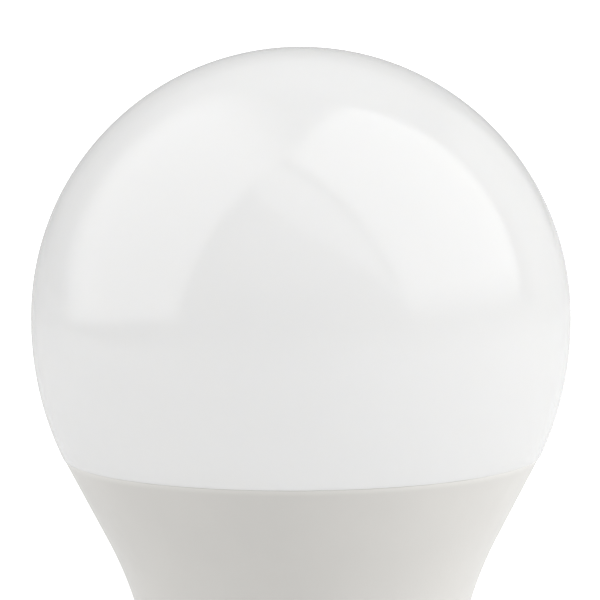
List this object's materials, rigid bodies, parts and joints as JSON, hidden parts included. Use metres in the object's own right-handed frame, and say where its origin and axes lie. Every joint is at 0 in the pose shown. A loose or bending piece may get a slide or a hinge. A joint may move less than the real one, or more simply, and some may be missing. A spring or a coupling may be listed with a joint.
{
  "type": "smart light bulb",
  "caption": "Screw-cap LED lamp with an opal globe on a flared plastic body; white and colour light sources, dimmed and switched by a built-in radio module.",
  "frame": {"origin": "tip of the centre contact, on the lamp's axis", "axes": "+Z along the lamp's axis from the cap to the top of the globe; +X in the plane of the driver board; +Y away from the driver board towards the radio module"},
  "size_m": [0.06, 0.06, 0.112],
  "materials": {
    "opal_diffuser": "glossy opal",
    "seal_silicone": "cured silicone",
    "housing_plastic": "fine matte",
    "cap_plating": "nickel plated, rolled",
    "cap_insulation": "moulded black",
    "contact_plating": "worn plated brass",
    "wire_insulation": "extruded",
    "neutral_insulation": "extruded",
    "heat_sink_aluminium": "spun and pressed",
    "thermal_rubber": "soft pad",
    "liner_plastic": "natural moulded",
    "led_board_mask": "white solder mask on aluminium",
    "screw_steel": "zinc plated",
    "led_body": "white moulded",
    "warm_phosphor": "silicone with phosphor",
    "cool_phosphor": "silicone with phosphor",
    "colour_led_body": "white moulded",
    "clear_fill": "clear silicone",
    "header_plastic": "moulded black",
    "pin_metal": "gold flash",
    "radio_laminate": "dark solder mask",
    "shield_metal": "tin plated",
    "antenna_copper": "plated copper",
    "driver_laminate": "green solder mask",
    "capacitor_sleeve": "shrunk dark sleeve over aluminium",
    "film_epoxy": "dipped epoxy",
    "ferrite": "ground ferrite",
    "bobbin_plastic": "moulded",
    "winding_tape": "yellow tape over copper",
    "enamelled_copper": "enamelled copper",
    "varistor_epoxy": "dipped epoxy",
    "resistor_coating": "flameproof coating",
    "shrink_sleeve": "shrunk sleeve",
    "chip_moulding": "moulded epoxy",
    "leg_tin": "tinned",
    "resistor_film": "glazed film",
    "capacitor_ceramic": "sintered ceramic",
    "solder": "reflowed solder"
  },
  "bodies": {
    "root": {"globe": "opal_diffuser", "globe_seal": "seal_silicone", "housing": "housing_plastic", "screw_shell": "cap_plating", "cap_insulator": "cap_insulation", "centre_contact": "contact_plating", "live_wire": "wire_insulation", "neutral_wire": "neutral_insulation", "heat_sink": "heat_sink_aluminium", "thermal_pad": "thermal_rubber", "driver_liner": "liner_plastic", "led_board": "led_board_mask", "led_board_screws": "screw_steel", "warm_white_leds": "led_body", "cool_white_leds": "led_body", "warm_phosphor": "warm_phosphor", "cool_phosphor": "cool_phosphor", "colour_leds": "colour_led_body", "colour_led_lenses": "clear_fill", "led_header": "header_plastic", "driver_socket": "header_plastic", "radio_header": "header_plastic", "led_header_pins": "pin_metal", "radio_header_pins": "pin_metal", "radio_board": "radio_laminate", "radio_shield": "shield_metal", "radio_antenna": "antenna_copper", "driver_board": "driver_laminate", "bulk_capacitor": "capacitor_sleeve", "output_capacitor": "capacitor_sleeve", "film_capacitor": "film_epoxy", "transformer_core": "ferrite", "filter_choke_core": "ferrite", "transformer_bobbin": "bobbin_plastic", "transformer_winding": "winding_tape", "filter_choke_winding": "enamelled_copper", "varistor": "varistor_epoxy", "fuse_resistor": "resistor_coating", "fuse_sleeve": "shrink_sleeve", "bridge_rectifier": "chip_moulding", "power_chip": "chip_moulding", "dimmer_chip": "chip_moulding", "radio_chip": "chip_moulding", "package_legs": "leg_tin", "component_leads": "leg_tin", "chip_resistors": "resistor_film", "chip_capacitors": "capacitor_ceramic", "solder_joints": "solder"}
  },
  "joints": []
}
